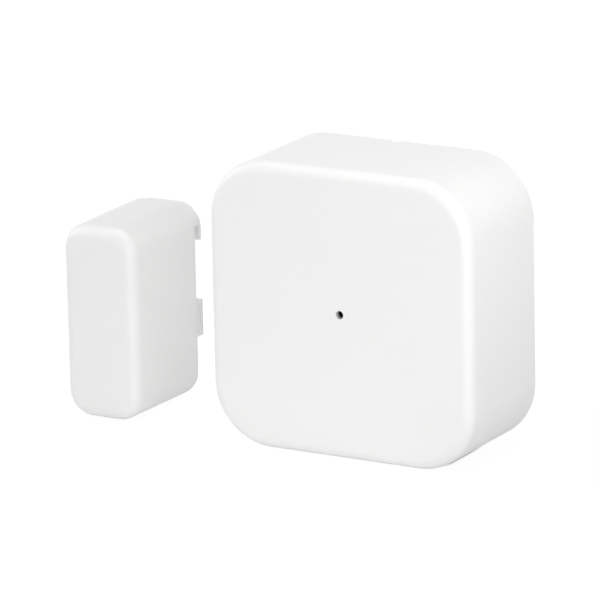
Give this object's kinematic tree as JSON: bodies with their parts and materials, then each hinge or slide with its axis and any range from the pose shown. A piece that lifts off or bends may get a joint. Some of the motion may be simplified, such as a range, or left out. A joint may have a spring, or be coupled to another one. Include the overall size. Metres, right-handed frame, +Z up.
{
  "type": "door sensor",
  "caption": "Two-part magnetic door sensor: square sensor unit with a pinhole light, coin cell and reed switch, and a slim magnet unit on a hook-on wall plate.",
  "frame": {"origin": "middle of the sensor unit's bottom face, on the surface that both units stand on", "axes": "+Z up, front face of both units towards -Y, magnet unit on the -X side"},
  "size_m": [0.0646, 0.0213, 0.04],
  "materials": {
    "housing_plastic": "fine satin moulded plastic, white",
    "cover_plastic": "satin moulded plastic, white",
    "adhesive_foam": "matt closed-cell foam, pale grey",
    "board_laminate": "green solder mask over glass fibre",
    "screw_steel": "zinc-plated steel",
    "reed_glass": "clear pale green glass",
    "lead_metal": "tin-plated nickel-iron",
    "led_resin": "clear to milky resin",
    "chip_resin": "black moulding compound",
    "crystal_can": "plain metal lid",
    "ceramic": "off-white ceramic",
    "component_body": "tan ceramic",
    "holder_plastic": "black moulded plastic",
    "contact_metal": "gold-flashed spring brass",
    "cell_steel": "nickel-plated steel",
    "cell_gasket": "dark nylon",
    "button_resin": "black plastic",
    "button_steel": "tin-plated steel",
    "magnet_metal": "nickel-plated magnet"
  },
  "bodies": {
    "sensor": {"front_housing": "housing_plastic", "circuit_board": "board_laminate", "board_screws": "screw_steel", "reed_glass": "reed_glass", "reed_lead_upper": "lead_metal", "reed_lead_lower": "lead_metal", "status_led": "led_resin", "radio_chip": "chip_resin", "crystal": "crystal_can", "chip_antenna": "ceramic", "small_components": "component_body", "battery_holder": "holder_plastic", "negative_contact": "contact_metal", "positive_contact": "contact_metal", "coin_cell_can": "cell_steel", "coin_cell_seal": "cell_gasket", "coin_cell_cap": "cell_steel", "button_case": "button_resin", "button_plate": "button_steel", "button_dome": "button_steel"},
    "back": {"rear_cover": "housing_plastic", "sensor_adhesive_pad": "adhesive_foam"},
    "pairing_button": {"button_plunger": "button_resin"},
    "magnet_unit": {"magnet_cover": "cover_plastic", "magnet_base": "cover_plastic", "bar_magnet": "magnet_metal"},
    "wall_plate": {"magnet_wall_plate": "cover_plastic", "magnet_adhesive_pad": "adhesive_foam"}
  },
  "joints": [
    {"name": "door_travel", "type": "slide", "parent": "sensor", "child": "magnet_unit", "axis": [-1, 0, 0], "range_m": [-0.01, 0.06]},
    {"name": "back_release", "type": "slide", "parent": "sensor", "child": "back", "axis": [0, 1, 0], "range_m": [0, 0.016]},
    {"name": "pairing_press", "type": "slide", "parent": "sensor", "child": "pairing_button", "axis": [0, -1, 0], "range_m": [0, 0.00025], "stiffness_N_per_m": 1000},
    {"name": "wall_plate_release", "type": "slide", "parent": "magnet_unit", "child": "wall_plate", "axis": [0, 0, -1], "range_m": [0, 0.005]}
  ]
}
